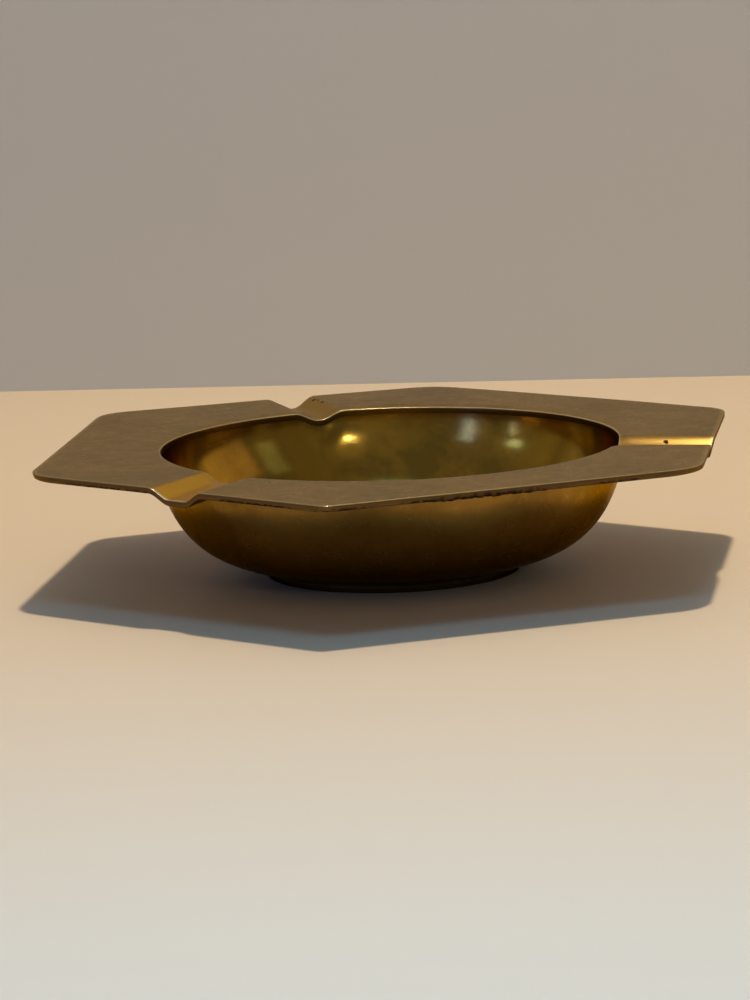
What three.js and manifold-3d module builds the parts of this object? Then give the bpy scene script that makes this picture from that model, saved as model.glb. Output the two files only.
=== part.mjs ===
// Hexagonal brass incense dish.
//
// A flat six-sided brim of sheet brass, with a round mouth and three pressed rests, is soldered
// onto the upper edge of a spun bowl. The bowl stands on a low foot ring, which is soldered on too.
//
// Millimetres, +Z up. The origin is on the table under the middle of the hexagon. +X points at the
// middle of one side, so two corners lie close to the Y axis. As on a handmade dish, the corners are
// a little out of true, and the mouth, the bowl and the foot share a centre of their own.

import * as THREE from 'three';
import { mergeVertices } from 'three/addons/utils/BufferGeometryUtils.js';
import Module from 'manifold-3d';

const wasm = await Module();
wasm.setup();

// ---------------------------------------------------------------- driving dimensions

const HEIGHT = 29.8;                // table to the top of the brim
const SHEET = 1.4;                  // thickness of the brim
const ARRIS = 0.3;                  // the softened edges of the brim and the foot
const MOUTH_RADIUS = 52.3;          // the round opening in the brim
const MOUTH_CENTRE = new THREE.Vector2(0.85, 0.1);
const LIP_WIDTH = 3.5;              // the sheet rolls down over this width around the mouth
const LIP_DROP = 0.4;

// The brim's corners, anticlockwise from the one at about -30 degrees: their places before they are
// rounded, the radius of the rounding, and how far the sheet stands above the mouth there.
const CORNERS = [
  { x: 75.6, y: -41.6, round: 13, lift: 0.25 },
  { x: 74.2, y: 44.2, round: 9.5, lift: -0.15 },
  { x: -0.9, y: 86.9, round: 10, lift: -0.4 },
  { x: -75.5, y: 44.1, round: 12, lift: 0.2 },
  { x: -74.2, y: -42.4, round: 12, lift: 0 },
  { x: -0.4, y: -85.9, round: 3, lift: 0 },
];

// The rests, each pressed along a straight line: the line's direction from +X in degrees and how far
// it passes to the left of the origin, the width of the floor and of each flank, and the depth at the
// mouth and at the outer edge.
const RESTS = [
  { direction: -2.8, offset: 1.2, floor: 2.0, flank: 6.4, mouthDepth: 1.9, edgeDepth: 2.6 },
  { direction: 116.5, offset: -0.2, floor: 0.6, flank: 5.9, mouthDepth: 1.9, edgeDepth: 2.6 },
  { direction: 250.0, offset: -12.5, floor: 4.2, flank: 5.5, mouthDepth: 1.9, edgeDepth: 2.5 },
];
const EDGE_PULL = 0.25;             // pressing a rest draws the outer edge in by this part of its depth

// The bowl's outer surface is a superellipse turned about Z and cut flat at the bottom.
const BOWL_RADIUS = 53.5;
const BOWL_REACH = 28.2;            // depth of the whole superellipse below the top of the brim
const BOWL_SIDE_POWER = 1.88;
const BOWL_FLOOR_POWER = 5.1;
const BOWL_WALL = 1.2;
const BOWL_BOTTOM = 1.7;            // height of its flat underside above the table

const FOOT_RADIUS = 29;
const FOOT_WIDTH = 3.2;

const SEAM_LEG = 1.6;               // solder fillet under the brim
const SEAM_SETBACK = 12;            // degrees left free on each side of a rest's middle
const FOOT_SEAM_LEG = 1.2;
const GAP = 0.3;                    // between neighbouring pieces

const TURNED_STEPS = 72;            // facets around a turned piece
const BOWL_STEPS = 11;              // facets along the bowl's curve
const BRIM_STEPS = 3;               // facets across the flat part of the brim's width
const CORNER_STEPS = 6;             // facets around a rounded corner
const FINE_STEP = 1.1;              // along the brim's sides, where a rest crosses them
const PLAIN_STEP = 6;               // along the brim's sides elsewhere

const UNDERSIDE = HEIGHT - SHEET;
const BOWL_TOP = UNDERSIDE - LIP_DROP - GAP;
const SIDE_ANGLE = Math.PI / 3;
const HALF_SIDE_ANGLE = SIDE_ANGLE / 2;
const CORNER_REACH = Math.hypot(CORNERS[0].x, CORNERS[0].y);
const EDGE_REACH = CORNER_REACH * Math.cos(HALF_SIDE_ANGLE);

// ---------------------------------------------------------------- materials

const brimBrass = new THREE.MeshStandardMaterial({ color: 0x8a6d3f, roughness: 0.42, metalness: 1 });
const bowlBrass = new THREE.MeshStandardMaterial({ color: 0x9a6f24, roughness: 0.3, metalness: 1 });
const footBrass = new THREE.MeshStandardMaterial({ color: 0x6b4c1f, roughness: 0.45, metalness: 1 });
const solder = new THREE.MeshStandardMaterial({ color: 0x7d6538, roughness: 0.6, metalness: 1 });

// ---------------------------------------------------------------- helpers

const radians = THREE.MathUtils.degToRad;

// A closed geometry as a solid for cutting.
function toSolid(geometry) {
  const bare = geometry.clone();
  bare.deleteAttribute('normal');
  bare.deleteAttribute('uv');
  const merged = mergeVertices(bare, 1e-4);
  return new wasm.Manifold(new wasm.Mesh({
    numProp: 3,
    vertProperties: new Float32Array(merged.attributes.position.array),
    triVerts: new Uint32Array(merged.index.array),
  }));
}

// The solid back as a geometry.
function toGeometry(solid) {
  const mesh = solid.getMesh();
  const geometry = new THREE.BufferGeometry();
  geometry.setAttribute('position', new THREE.BufferAttribute(mesh.vertProperties, 3));
  geometry.setIndex(new THREE.BufferAttribute(mesh.triVerts, 1));
  return geometry;
}

// An anticlockwise section of [radius, height] pairs, turned about the bowl's axis. It starts and
// ends on the axis, or else it is closed here.
function turned(section) {
  const outline = section[0][0] === 0 ? section : [...section, section[0]];
  const profile = outline.map(([radius, height]) => new THREE.Vector2(radius, height));
  const geometry = new THREE.LatheGeometry(profile, TURNED_STEPS).rotateX(Math.PI / 2);
  return geometry.translate(MOUTH_CENTRE.x, MOUTH_CENTRE.y, 0);
}

// A closed surface over a grid of points that wraps around in both directions.
function ringSurface(columns) {
  const rows = columns[0].length;
  const indices = [];
  for (let i = 0; i < columns.length; i += 1) {
    const next = (i + 1) % columns.length;
    for (let j = 0; j < rows; j += 1) {
      const above = (j + 1) % rows;
      const a = i * rows + j;
      const b = next * rows + j;
      const c = next * rows + above;
      const d = i * rows + above;
      indices.push(a, c, b, a, d, c);
    }
  }
  const geometry = new THREE.BufferGeometry();
  geometry.setAttribute('position', new THREE.Float32BufferAttribute(columns.flat(2), 3));
  geometry.setIndex(indices);
  return geometry;
}

// ---------------------------------------------------------------- the brim

// A rest's line as seen from one place: how far out along it, and how far to its left.
function fromRest(rest, x, y) {
  const direction = radians(rest.direction);
  return {
    outward: x * Math.cos(direction) + y * Math.sin(direction),
    sideways: y * Math.cos(direction) - x * Math.sin(direction) - rest.offset,
  };
}

// The direction, seen from the origin, of the point that is so far out along a rest's line.
function restAngle(rest, outward) {
  return radians(rest.direction) + Math.atan2(rest.offset, outward);
}

// How deep a rest's section is, as a part of its full depth, at a distance from its centre line.
function restShape(rest, sideways) {
  const flankPart = Math.max(0, Math.abs(sideways) - rest.floor / 2) / rest.flank;
  return flankPart < 1 ? (1 + Math.cos(Math.PI * flankPart)) / 2 : 0;
}

// How far the sheet is pressed down at one place: zero away from the rests.
function pressedDepth(x, y) {
  let depth = 0;
  for (const rest of RESTS) {
    const { outward, sideways } = fromRest(rest, x, y);
    if (outward > 0) {
      const lengthPart = (outward - MOUTH_RADIUS) / (EDGE_REACH - MOUTH_RADIUS);
      const fullDepth = THREE.MathUtils.lerp(rest.mouthDepth, rest.edgeDepth, lengthPart);
      depth += fullDepth * restShape(rest, sideways);
    }
  }
  return depth;
}

// How far the sheet stands above its mean height at one place.
function sheetLift(x, y) {
  const turn = (Math.atan2(y, x) + HALF_SIDE_ANGLE + 2 * Math.PI) / SIDE_ANGLE;
  const before = CORNERS[Math.floor(turn) % 6];
  const after = CORNERS[Math.floor(turn + 1) % 6];
  const between = THREE.MathUtils.smoothstep(turn % 1, 0, 1);
  const outwardPart = (Math.hypot(x, y) - MOUTH_RADIUS) / (CORNER_REACH - MOUTH_RADIUS);
  return THREE.MathUtils.lerp(before.lift, after.lift, between) * Math.max(0, outwardPart) ** 2;
}

// How far the sheet has rolled down at a distance from the edge of the mouth.
function lipDrop(distance) {
  return LIP_DROP * Math.max(0, 1 - distance / LIP_WIDTH) ** 2;
}

// A rounded corner of the outline, from where it leaves one side to where it meets the next.
function cornerCurve(index) {
  const [corner, before, after] = [index, index + 5, index + 1].map((i) => CORNERS[i % 6]);
  const middle = new THREE.Vector2(corner.x, corner.y);
  const setback = corner.round * Math.tan(HALF_SIDE_ANGLE);
  const [start, end] = [before, after].map((other) => (
    new THREE.Vector2(other.x, other.y).sub(middle).setLength(setback).add(middle)
  ));
  return new THREE.QuadraticBezierCurve(start, middle, end);
}

// The outline's points along one straight side, close together where a rest crosses it.
function sidePoints(start, end) {
  const points = [];
  const length = start.distanceTo(end);
  let travelled = FINE_STEP;
  while (travelled < length - FINE_STEP / 2) {
    const point = start.clone().lerp(end, travelled / length);
    const crossed = RESTS.some((rest) => {
      const { outward, sideways } = fromRest(rest, point.x, point.y);
      return outward > 0 && Math.abs(sideways) < rest.floor / 2 + rest.flank + PLAIN_STEP;
    });
    points.push(point);
    travelled += crossed ? FINE_STEP : PLAIN_STEP;
  }
  return points;
}

// The brim's outline, anticlockwise, before the rests draw it in.
function outlinePoints() {
  const curves = CORNERS.map((corner, index) => cornerCurve(index));
  return curves.flatMap((curve, index) => (
    [...curve.getPoints(CORNER_STEPS), ...sidePoints(curve.v2, curves[(index + 1) % 6].v0)]
  ));
}

// The point on the edge of the mouth that belongs to a point of the outline. The two are in line
// with each other along a rest, and turn evenly from one rest to the next.
function mouthPoint(outlinePoint) {
  const wrapped = (angle) => THREE.MathUtils.euclideanModulo(angle, 2 * Math.PI);
  const edgeAngles = RESTS.map((rest) => restAngle(rest, EDGE_REACH));
  const shifts = RESTS.map((rest, i) => restAngle(rest, MOUTH_RADIUS) - edgeAngles[i]);
  const gaps = edgeAngles.map((edgeAngle) => wrapped(outlinePoint.angle() - edgeAngle));
  const before = gaps.indexOf(Math.min(...gaps));
  const after = (before + 1) % RESTS.length;
  const part = gaps[before] / wrapped(edgeAngles[after] - edgeAngles[before]);
  const angle = outlinePoint.angle() + THREE.MathUtils.lerp(shifts[before], shifts[after], part);
  const direction = new THREE.Vector2(Math.cos(angle), Math.sin(angle));
  const sideways = MOUTH_CENTRE.cross(direction);
  const reach = MOUTH_CENTRE.dot(direction) + Math.sqrt(MOUTH_RADIUS ** 2 - sideways ** 2);
  return direction.multiplyScalar(reach);
}

// The flat sheet's section, as pairs of distance from the mouth and height.
function sheetSection(width) {
  const across = [ARRIS, LIP_WIDTH / 2];
  for (let i = 0; i <= BRIM_STEPS; i += 1) {
    across.push(THREE.MathUtils.lerp(LIP_WIDTH, width - ARRIS, i / BRIM_STEPS));
  }
  return [
    [0, UNDERSIDE + ARRIS],
    [0, HEIGHT - ARRIS],
    ...across.map((distance) => [distance, HEIGHT]),
    [width, HEIGHT - ARRIS],
    [width, UNDERSIDE + ARRIS],
    ...across.reverse().map((distance) => [distance, UNDERSIDE]),
  ];
}

function makeBrim() {
  const columns = outlinePoints().map((outer) => {
    const inner = mouthPoint(outer);
    const outward = outer.clone().sub(inner).normalize();
    const width = outer.distanceTo(inner) - EDGE_PULL * pressedDepth(outer.x, outer.y);
    return sheetSection(width).map(([distance, height]) => {
      const { x, y } = outward.clone().multiplyScalar(distance).add(inner);
      return [x, y, height + sheetLift(x, y) - pressedDepth(x, y) - lipDrop(distance)];
    });
  });
  return ringSurface(columns);
}

// ---------------------------------------------------------------- the bowl

// Outer radius of the bowl at one height above the table.
function bowlRadius(height) {
  const depthPart = (HEIGHT - height) / BOWL_REACH;
  return BOWL_RADIUS * (1 - depthPart ** BOWL_SIDE_POWER) ** (1 / BOWL_FLOOR_POWER);
}

// Height of the bowl's outer surface above the table at one radius.
function bowlHeight(radius) {
  const radiusPart = (radius / BOWL_RADIUS) ** BOWL_FLOOR_POWER;
  return HEIGHT - BOWL_REACH * (1 - radiusPart) ** (1 / BOWL_SIDE_POWER);
}

// The bowl's outer curve, from the edge of its flat bottom up to the brim.
function bowlCurve() {
  const rise = BOWL_TOP - BOWL_BOTTOM;
  const curve = [];
  for (let i = 0; i <= BOWL_STEPS; i += 1) {
    const height = BOWL_BOTTOM + rise * (i / BOWL_STEPS) ** 2;
    curve.push([bowlRadius(height), height]);
  }
  return curve;
}

// The same curve moved inwards by the thickness of the wall.
function innerCurve(curve) {
  const last = curve.length - 1;
  return curve.map(([radius, height], i) => {
    const before = curve[Math.max(0, i - 1)];
    const after = curve[Math.min(last, i + 1)];
    const length = Math.hypot(after[0] - before[0], after[1] - before[1]);
    const inward = BOWL_WALL * (after[1] - before[1]) / length;
    const upward = BOWL_WALL * (after[0] - before[0]) / length;
    if (i === 0) return [radius, height + BOWL_WALL];
    if (i === last) return [radius - BOWL_WALL, height];
    return [radius - inward, height + upward];
  });
}

// The room that a rest takes in the bowl's edge: a block with the rest's own underside.
function restBlock(rest) {
  const steps = 20;
  const halfWidth = rest.floor / 2 + rest.flank;
  const halfLength = 10;
  const outline = [];
  for (let i = 0; i <= steps; i += 1) {
    const sideways = halfWidth * (2 * i / steps - 1);
    outline.push(new THREE.Vector2(sideways, BOWL_TOP - rest.mouthDepth * restShape(rest, sideways)));
  }
  outline.push(new THREE.Vector2(halfWidth, HEIGHT), new THREE.Vector2(-halfWidth, HEIGHT));
  const section = new THREE.Shape(outline);
  const block = new THREE.ExtrudeGeometry(section, { depth: 2 * halfLength, bevelEnabled: false });
  block.rotateX(Math.PI / 2).rotateZ(Math.PI / 2);
  return block.translate(MOUTH_RADIUS - halfLength, rest.offset, 0).rotateZ(radians(rest.direction));
}

function makeBowl() {
  const outside = bowlCurve();
  const inside = innerCurve(outside).reverse();
  const cup = turned([[0, BOWL_BOTTOM], ...outside, ...inside, [0, BOWL_BOTTOM + BOWL_WALL]]);
  let solid = toSolid(cup);
  for (const rest of RESTS) {
    solid = solid.subtract(toSolid(restBlock(rest)));
  }
  return toGeometry(solid);
}

// ---------------------------------------------------------------- the solder seams

// The direction, seen from the bowl's centre, in which a rest crosses the bowl's wall.
function crossingAngle(rest) {
  const { sideways } = fromRest(rest, MOUTH_CENTRE.x, MOUTH_CENTRE.y);
  return radians(rest.direction) + Math.asin(-sideways / BOWL_RADIUS);
}

// The fillet in the corner under the brim, between one rest and the next.
function makeBrimSeam(rest, nextRest) {
  const top = UNDERSIDE - GAP - lipDrop(BOWL_RADIUS + GAP - MOUTH_RADIUS);
  const wall = bowlRadius(BOWL_TOP) + GAP;
  const ring = turned([
    [wall, top - SEAM_LEG],
    [wall + 0.35 * SEAM_LEG, top - 0.35 * SEAM_LEG],
    [wall + SEAM_LEG, top],
    [wall, top],
  ]);
  const start = crossingAngle(rest) + radians(SEAM_SETBACK);
  const end = crossingAngle(nextRest) - radians(SEAM_SETBACK);
  const slice = new THREE.Shape().absarc(0, 0, 2 * MOUTH_RADIUS, start, end, false).lineTo(0, 0);
  const wedge = new THREE.ExtrudeGeometry(slice, { depth: HEIGHT, bevelEnabled: false });
  wedge.translate(MOUTH_CENTRE.x, MOUTH_CENTRE.y, 0);
  return toGeometry(toSolid(ring).intersect(toSolid(wedge)));
}

// The fillet in the corner between the foot ring and the bowl.
function makeFootSeam() {
  const wall = FOOT_RADIUS + GAP;
  const top = bowlHeight(wall + FOOT_SEAM_LEG) - GAP;
  return turned([
    [wall, top - FOOT_SEAM_LEG],
    [wall + 0.4 * FOOT_SEAM_LEG, top - 0.5 * FOOT_SEAM_LEG],
    [wall + FOOT_SEAM_LEG, top],
    [wall, bowlHeight(wall) - GAP],
  ]);
}

// ---------------------------------------------------------------- the foot

function makeFootRing() {
  const inner = FOOT_RADIUS - FOOT_WIDTH;
  return turned([
    [inner, 0],
    [FOOT_RADIUS - ARRIS, 0],
    [FOOT_RADIUS, ARRIS],
    [FOOT_RADIUS, bowlHeight(FOOT_RADIUS) - GAP],
    [inner, bowlHeight(inner) - GAP],
  ]);
}

// ---------------------------------------------------------------- assembly

const group = new THREE.Group();

function addPart(name, geometry, material) {
  const mesh = new THREE.Mesh(geometry, material);
  mesh.name = name;
  group.add(mesh);
}

addPart('brim', makeBrim(), brimBrass);
addPart('bowl', makeBowl(), bowlBrass);
RESTS.forEach((rest, i) => {
  const nextRest = RESTS[(i + 1) % RESTS.length];
  addPart(`brim_seam_${i + 1}`, makeBrimSeam(rest, nextRest), solder);
});
addPart('foot_ring', makeFootRing(), footBrass);
addPart('foot_seam', makeFootSeam(), solder);

export default group;
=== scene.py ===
"""The looks of a hexagonal brass incense dish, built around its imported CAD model.

Every length is in metres, in the CAD frame: +Z up, the table at z = 0, the origin under the middle
of the hexagon, and +X at the middle of one of its sides. The dish is one rigid body.
"""

import math

import bpy
from mathutils import Matrix, Vector, noise


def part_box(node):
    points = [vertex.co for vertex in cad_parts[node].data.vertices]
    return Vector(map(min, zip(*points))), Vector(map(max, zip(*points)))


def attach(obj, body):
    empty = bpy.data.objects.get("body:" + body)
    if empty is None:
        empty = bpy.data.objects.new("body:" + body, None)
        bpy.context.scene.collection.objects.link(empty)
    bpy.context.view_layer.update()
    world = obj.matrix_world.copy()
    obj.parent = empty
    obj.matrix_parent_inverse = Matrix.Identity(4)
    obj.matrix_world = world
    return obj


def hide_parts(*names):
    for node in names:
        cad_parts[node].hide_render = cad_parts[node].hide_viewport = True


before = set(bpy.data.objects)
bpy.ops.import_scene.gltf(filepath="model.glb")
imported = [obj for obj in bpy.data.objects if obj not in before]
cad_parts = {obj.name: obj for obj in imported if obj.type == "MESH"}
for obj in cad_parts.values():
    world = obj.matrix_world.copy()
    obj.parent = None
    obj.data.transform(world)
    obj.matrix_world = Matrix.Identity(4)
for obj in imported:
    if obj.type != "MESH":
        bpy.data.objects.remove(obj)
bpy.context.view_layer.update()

# -------------------------------------------------- driving dimensions

MM = 0.001
HEIGHT = 29.8 * MM                  # table to the top of the brim
SHEET = 1.4 * MM                    # thickness of the brim
TOP_ROUND = 0.22 * MM               # rounding of the brim's upper edges
LOW_ROUND = 0.42 * MM               # and of its lower outer edge, which is filed rounder
FILED_CORNER = 0.35 * MM            # how much further the lower edge is filed back at a corner
JOINT_ROUND = 0.01 * MM             # rounding of the mouth's lower edge, where the bowl joins it
FOOT_ROUND = 0.3 * MM
MOUTH_RADIUS = 52.3 * MM
LIP_WIDTH = 3.5 * MM                # the sheet rolls down over this width around the mouth
LIP_DROP = 0.4 * MM
EDGE_PULL = 0.25                    # a rest draws the outer edge in by this part of its depth
WARP = 0.05 * MM                    # gentle unevenness of the sheet
WARP_SIZE = 24 * MM                 # and how wide its waves are
BURR_START = 19 * MM                # a ragged burr hangs from the right front edge from here to
BURR_END = 54 * MM                  # here
BURR_GROWTH = 4 * MM                # it grows over this length
BURR_TAIL = 20 * MM                 # and dies out over this one
BURR_TOP = 0.6                      # it starts this part of the thickness down the sheet's edge
BURR_REACH = 2.4 * MM               # it reaches so far in under the sheet
BURR_SLOPE = 1.6 * MM               # and fades out over this width there
BURR_DEPTH = 0.5 * MM
BURR_LUMP = 1.2 * MM                # size of its lumps
BURR_MEAN = 0.4                     # its usual depth, as a part of BURR_DEPTH
BURR_RAGGEDNESS = 1.2               # and how much it varies
BOWL_RADIUS = 53.5 * MM
BOWL_REACH = 28.2 * MM              # depth of the bowl's whole superellipse below the brim's top
BOWL_SIDE_POWER = 1.88
BOWL_FLOOR_POWER = 5.1
BOWL_WALL = 1.2 * MM
BOWL_BOTTOM = 1.7 * MM
NECK_HEIGHT = 10 * MM               # so far below the brim the wall starts to turn straight up
NECK_FADE = 6 * MM
DENT = 0.45 * MM                    # pressing a rest pushes the wall below it in by this much
DENT_REACH = 7 * MM                 # the dent ends this far below the wall's edge
DENT_GROWTH = 2.8 * MM              # and grows to its full depth over this height
FOOT_WIDTH = 3.2 * MM
SEAM_LEG = 1.6 * MM
SEAM_SETBACK = math.radians(12)     # the solder stops this far from a rest's middle
SEAM_TAPER = 0.04                   # it thins out over this part of its length at each end
SEAM_THIN = 0.12                    # down to this part of its leg
SEAM_MEAN = 0.85                    # its usual leg, as a part of SEAM_LEG
SEAM_WANDER = 0.3                   # how much the leg varies
SEAM_WAVES = 14                     # and how often, as the noise's scale around the joint
NOISE_LEVEL = 0.3                   # the height at which that noise is read
FOOT_SEAM_LEG = 1.2 * MM
SOLDER_BITE = 0.3 * MM              # how far solder reaches behind the face that it sticks to
CONTACT = 0.02 * MM                 # touching pieces reach this far into each other

# -------------------------------------------------- where the metal is worn and grimy, and where light and shade are painted

EDGE_WEAR = 0.6 * MM                # width of the worn strip along the upper edges
LIP_WEAR_AND_HIGHLIGHT = 0.4 * MM                 # and of the brighter one along the lip, worn and with a painted highlight
WEAR_DEPTH = 0.15                   # both reach over this part of the sheet's thickness
LIP_HIGHLIGHT_START = -42 * MM           # from here to the right the lip is worn bright and carries a painted highlight
LIP_HIGHLIGHT_FADE = 18 * MM
RUBBED_FROM = 0.15                  # a rest's own colour is full where it is this part of its depth
MOUTH_FACE = 0.2                    # the mouth's face, as a part of the upper edge's rounding
SKIRT_REACH = 1.2 * MM              # the outer edge's tarnish fades out over this width underneath
INNER_GRIME_AND_SHADE = 1.5 * MM              # grime and painted shade fade out over this height below the brim, inside
INNER_GRIME_AND_SHADE_STRENGTH = 0.65
OUTER_GRIME_AND_SHADOW = 13 * MM               # and outside, where it is thinner and mostly a painted shadow of the brim
OUTER_GRIME_AND_SHADOW_STRENGTH = 0.40
OUTER_SHADOW_START = 10 * MM         # outside it fades out to the right of here
OUTER_SHADOW_FADE = 25 * MM

# -------------------------------------------------- corners and rests


class Corner:
    """A corner of the brim: its place before rounding, the rounding, and the sheet's height."""

    def __init__(self, x, y, rounding, lift):
        self.place = Vector((x, y)) * MM
        self.rounding = rounding * MM
        self.lift = lift * MM


class Rest:
    """A rest pressed along a line: its direction in degrees, how far to the left of the origin it
    passes, the widths of its floor and of each flank, its depth at the mouth and at the outer edge,
    and how much of its tarnish is rubbed off."""

    def __init__(self, direction, offset, floor, flank, mouth_depth, edge_depth, rubbed):
        self.direction = math.radians(direction)
        self.along = Vector((math.cos(self.direction), math.sin(self.direction)))
        self.left = Vector((-self.along.y, self.along.x))
        self.offset = offset * MM
        self.floor = floor * MM
        self.flank = flank * MM
        self.mouth_depth = mouth_depth * MM
        self.edge_depth = edge_depth * MM
        self.rubbed = rubbed


# Anticlockwise from the corner at about -30 degrees.
CORNERS = [
    Corner(75.6, -41.6, 13, 0.25),
    Corner(74.2, 44.2, 9.5, -0.15),
    Corner(-0.9, 86.9, 10, -0.4),
    Corner(-75.5, 44.1, 12, 0.2),
    Corner(-74.2, -42.4, 12, 0),
    Corner(-0.4, -85.9, 3, 0),
]
RESTS = [
    Rest(-2.8, 1.2, 2.0, 6.4, 1.9, 2.6, 0.0),
    Rest(116.5, -0.2, 0.6, 5.9, 1.9, 2.6, 0.4),
    Rest(250.0, -12.5, 4.2, 5.5, 1.9, 2.5, 1.0),
]

foot_low, foot_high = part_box("foot_ring")
UNDERSIDE = HEIGHT - SHEET
FOOT_RADIUS = (foot_high.x - foot_low.x) / 2
MOUTH_CENTRE = Vector(((foot_low.x + foot_high.x) / 2, (foot_low.y + foot_high.y) / 2))
SIDE_ANGLE = math.pi / 3
HALF_SIDE_ANGLE = SIDE_ANGLE / 2
CORNER_REACH = CORNERS[0].place.length
EDGE_REACH = CORNER_REACH * math.cos(HALF_SIDE_ANGLE)

SIDE_STEP = 0.4 * MM                # columns of the brim's mesh along a side
CORNER_COLUMNS = 40                 # and around a corner
BRIM_ROWS = 34
ROW_CROWDING = 1.4                  # the brim's rows crowd towards the mouth by this power
TURNED_COLUMNS = 720
BOWL_ROWS = 60
FLOOR_ROWS = 12
SEAM_COLUMNS = 160
FILLET_STEPS = 6                    # facets in a seam's hollow
FOOT_STEPS = 6                      # rows across the foot ring
ROUND_STEPS = 4                     # facets in a rounded edge
SHARP_ANGLE = math.radians(40)      # edges sharper than this are not smoothed

# -------------------------------------------------- mesh helpers


def make_piece(name, vertices, faces, marks=None):
    """A smooth mesh object. marks maps an attribute's name to one number for each vertex."""
    mesh = bpy.data.meshes.new(name)
    mesh.from_pydata(vertices, [], faces)
    mesh.update()
    for attribute, values in (marks or {}).items():
        layer = mesh.attributes.new(attribute, "FLOAT", "POINT")
        layer.data.foreach_set("value", values)
    mesh.shade_smooth()
    mesh.set_sharp_from_angle(angle=SHARP_ANGLE)
    piece = bpy.data.objects.new(name, mesh)
    bpy.context.scene.collection.objects.link(piece)
    return piece


def grid_faces(columns, rows, close_columns, close_rows):
    """Quads over a grid of columns by rows of points, each way closed or open."""
    faces = []
    for i in range(columns if close_columns else columns - 1):
        right = (i + 1) % columns
        for j in range(rows if close_rows else rows - 1):
            up = (j + 1) % rows
            faces.append((i * rows + j, i * rows + up, right * rows + up, right * rows + j))
    return faces


def quarter_round(centre, height, radius, start):
    """A rounded edge in a section: (distance, height) pairs, clockwise from the angle start."""
    points = []
    for step in range(ROUND_STEPS + 1):
        angle = start - math.pi / 2 * step / ROUND_STEPS
        points.append((centre + radius * math.cos(angle), height + radius * math.sin(angle)))
    return points


def ease(part):
    """A smooth step from 0 to 1."""
    part = min(1.0, max(0.0, part))
    return part * part * (3 - 2 * part)


def blend(first, second, part):
    """What lies between two numbers or two points."""
    return first * (1 - part) + second * part


def angle_of(point):
    """The direction of a place seen from the origin."""
    return math.atan2(point.y, point.x)


def toward_angle(angle):
    """The unit vector in a direction."""
    return Vector((math.cos(angle), math.sin(angle)))


# -------------------------------------------------- the sheet's shape


def rest_shape(rest, sideways):
    """How deep a rest's section is, as a part of its full depth."""
    flank_part = max(0.0, abs(sideways) - rest.floor / 2) / rest.flank
    return (1 + math.cos(math.pi * flank_part)) / 2 if flank_part < 1 else 0.0


def within_rests(point):
    """The rests on a place's side of the dish, each with how far to its left the place is."""
    near = [rest for rest in RESTS if point.dot(rest.along) > 0]
    return [(rest, point.dot(rest.left) - rest.offset) for rest in near]


def pressed_depth(point):
    """How far the sheet is pressed down at one place: zero away from the rests."""
    depth = 0.0
    for rest, sideways in within_rests(point):
        length_part = (point.dot(rest.along) - MOUTH_RADIUS) / (EDGE_REACH - MOUTH_RADIUS)
        depth += blend(rest.mouth_depth, rest.edge_depth, length_part) * rest_shape(rest, sideways)
    return depth


def rubbed_part(point, rubbed):
    """How much a place belongs to the rubbed or else to the dulled side of a rest."""
    part = 0.0
    for rest, sideways in within_rests(point):
        side = 1 - ease((sideways - rest.floor / 4) / rest.floor) if rubbed else 1.0
        amount = rest.rubbed if rubbed else 1 - rest.rubbed
        part += amount * side * ease(rest_shape(rest, sideways) / RUBBED_FROM)
    return part


def sheet_lift(point):
    """How far the sheet stands above its mean height at one place."""
    turn = (angle_of(point) + HALF_SIDE_ANGLE + 2 * math.pi) / SIDE_ANGLE
    before, after = CORNERS[int(turn) % 6], CORNERS[int(turn + 1) % 6]
    outward_part = max(0.0, (point.length - MOUTH_RADIUS) / (CORNER_REACH - MOUTH_RADIUS))
    warp = WARP * noise.noise(Vector((point.x, point.y, 0)) / WARP_SIZE)
    return blend(before.lift, after.lift, ease(turn % 1)) * outward_part**2 + warp


def lip_drop(distance):
    """How far the sheet has rolled down at a distance from the edge of the mouth."""
    return LIP_DROP * max(0.0, 1 - distance / LIP_WIDTH) ** 2


def burr_part(point, to_outline, depth_part):
    """How much a place belongs to the burr under the right front edge."""
    if point.y > -EDGE_REACH / 2 or depth_part < BURR_TOP:
        return 0.0
    growing = ease((point.x - BURR_START) / BURR_GROWTH)
    dying = ease((BURR_END - point.x) / BURR_TAIL)
    return growing * dying * ease((BURR_REACH - to_outline) / BURR_SLOPE)


def burr_depth(point, part):
    """How far the burr hangs down: in ragged lumps."""
    lumps = noise.noise(Vector((point.x, point.y, 0)) / BURR_LUMP)
    return BURR_DEPTH * part * max(0.0, BURR_MEAN + BURR_RAGGEDNESS * lumps)


def sheet_shift(point, distance):
    """Everything that moves the flat sheet up or down at one place."""
    return sheet_lift(point) - pressed_depth(point) - lip_drop(distance)


# -------------------------------------------------- the brim


def corner_curve(index):
    """The rounded corner's start, its corner point and its end."""
    corner = CORNERS[index]
    setback = corner.rounding * math.tan(HALF_SIDE_ANGLE)
    before, after = CORNERS[index - 1], CORNERS[(index + 1) % 6]
    start = corner.place + (before.place - corner.place).normalized() * setback
    end = corner.place + (after.place - corner.place).normalized() * setback
    return start, corner.place, end


def outline_points():
    """The brim's outline, anticlockwise: pairs of a point and how much it belongs to a corner."""
    outline = []
    for index in range(6):
        start, middle, end = corner_curve(index)
        for step in range(CORNER_COLUMNS + 1):
            part = step / CORNER_COLUMNS
            point = blend(blend(start, middle, part), blend(middle, end, part), part)
            outline.append((point, math.sin(math.pi * part)))
        next_start = corner_curve((index + 1) % 6)[0]
        steps = round((next_start - end).length / SIDE_STEP)
        outline += [(blend(end, next_start, step / steps), 0.0) for step in range(1, steps)]
    return outline


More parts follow.
